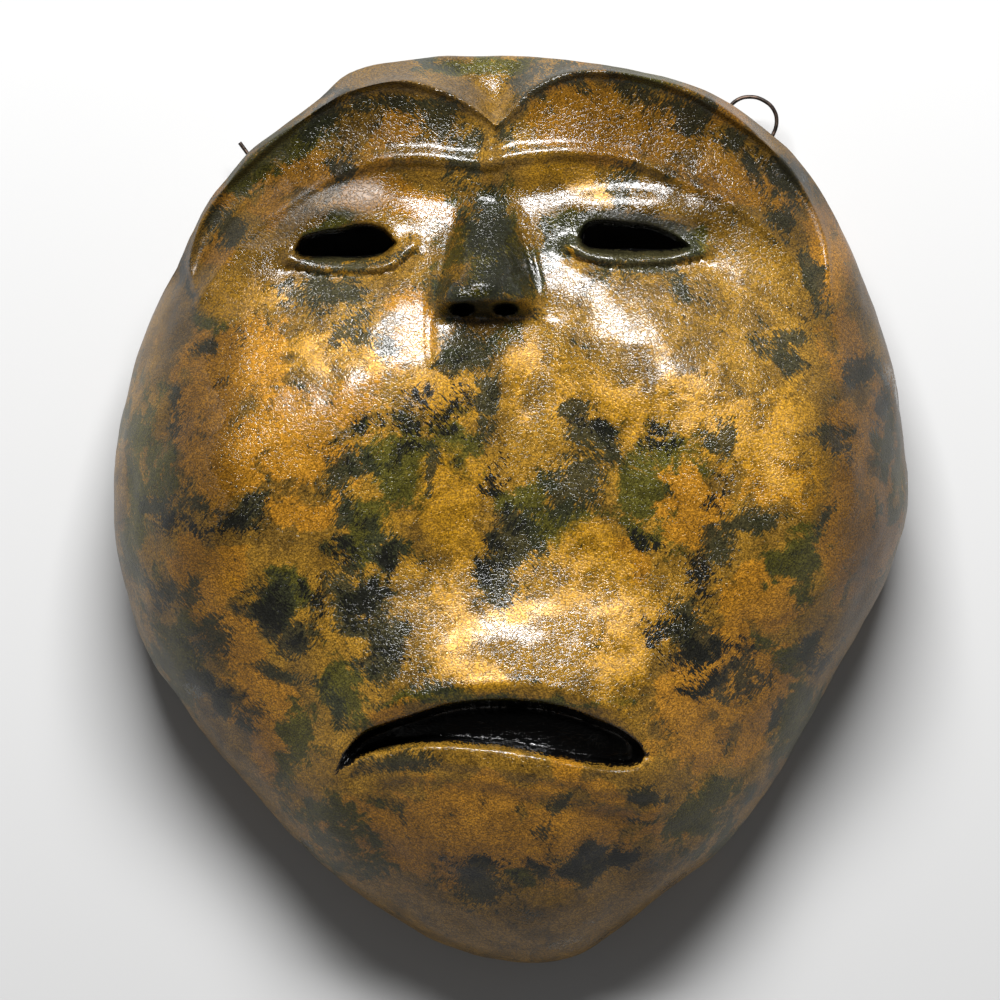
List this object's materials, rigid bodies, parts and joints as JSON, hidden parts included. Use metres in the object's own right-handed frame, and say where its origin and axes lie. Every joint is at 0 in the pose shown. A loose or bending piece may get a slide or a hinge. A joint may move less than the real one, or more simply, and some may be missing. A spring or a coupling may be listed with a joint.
{
  "type": "clay mask",
  "caption": "Hollow hand-built clay face mask with raised brows, eye slits, downturned mouth and a wire behind it for hanging.",
  "frame": {"origin": "centre of the rim's bounding box, in the plane that the rim lies on", "axes": "+Z out of the face, away from the surface it lies on; +Y towards the forehead; +X towards the right of the picture"},
  "size_m": [0.2548, 0.2912, 0.1008],
  "materials": {
    "painted_clay": "fired clay, sponged in ochre, olive and dark slate paint, under a gloss varnish; bare and duller inside",
    "annealed_wire": "blackened annealed iron wire"
  },
  "bodies": {
    "root": {"mask_shell": "painted_clay", "hanging_wire": "annealed_wire"}
  },
  "joints": []
}
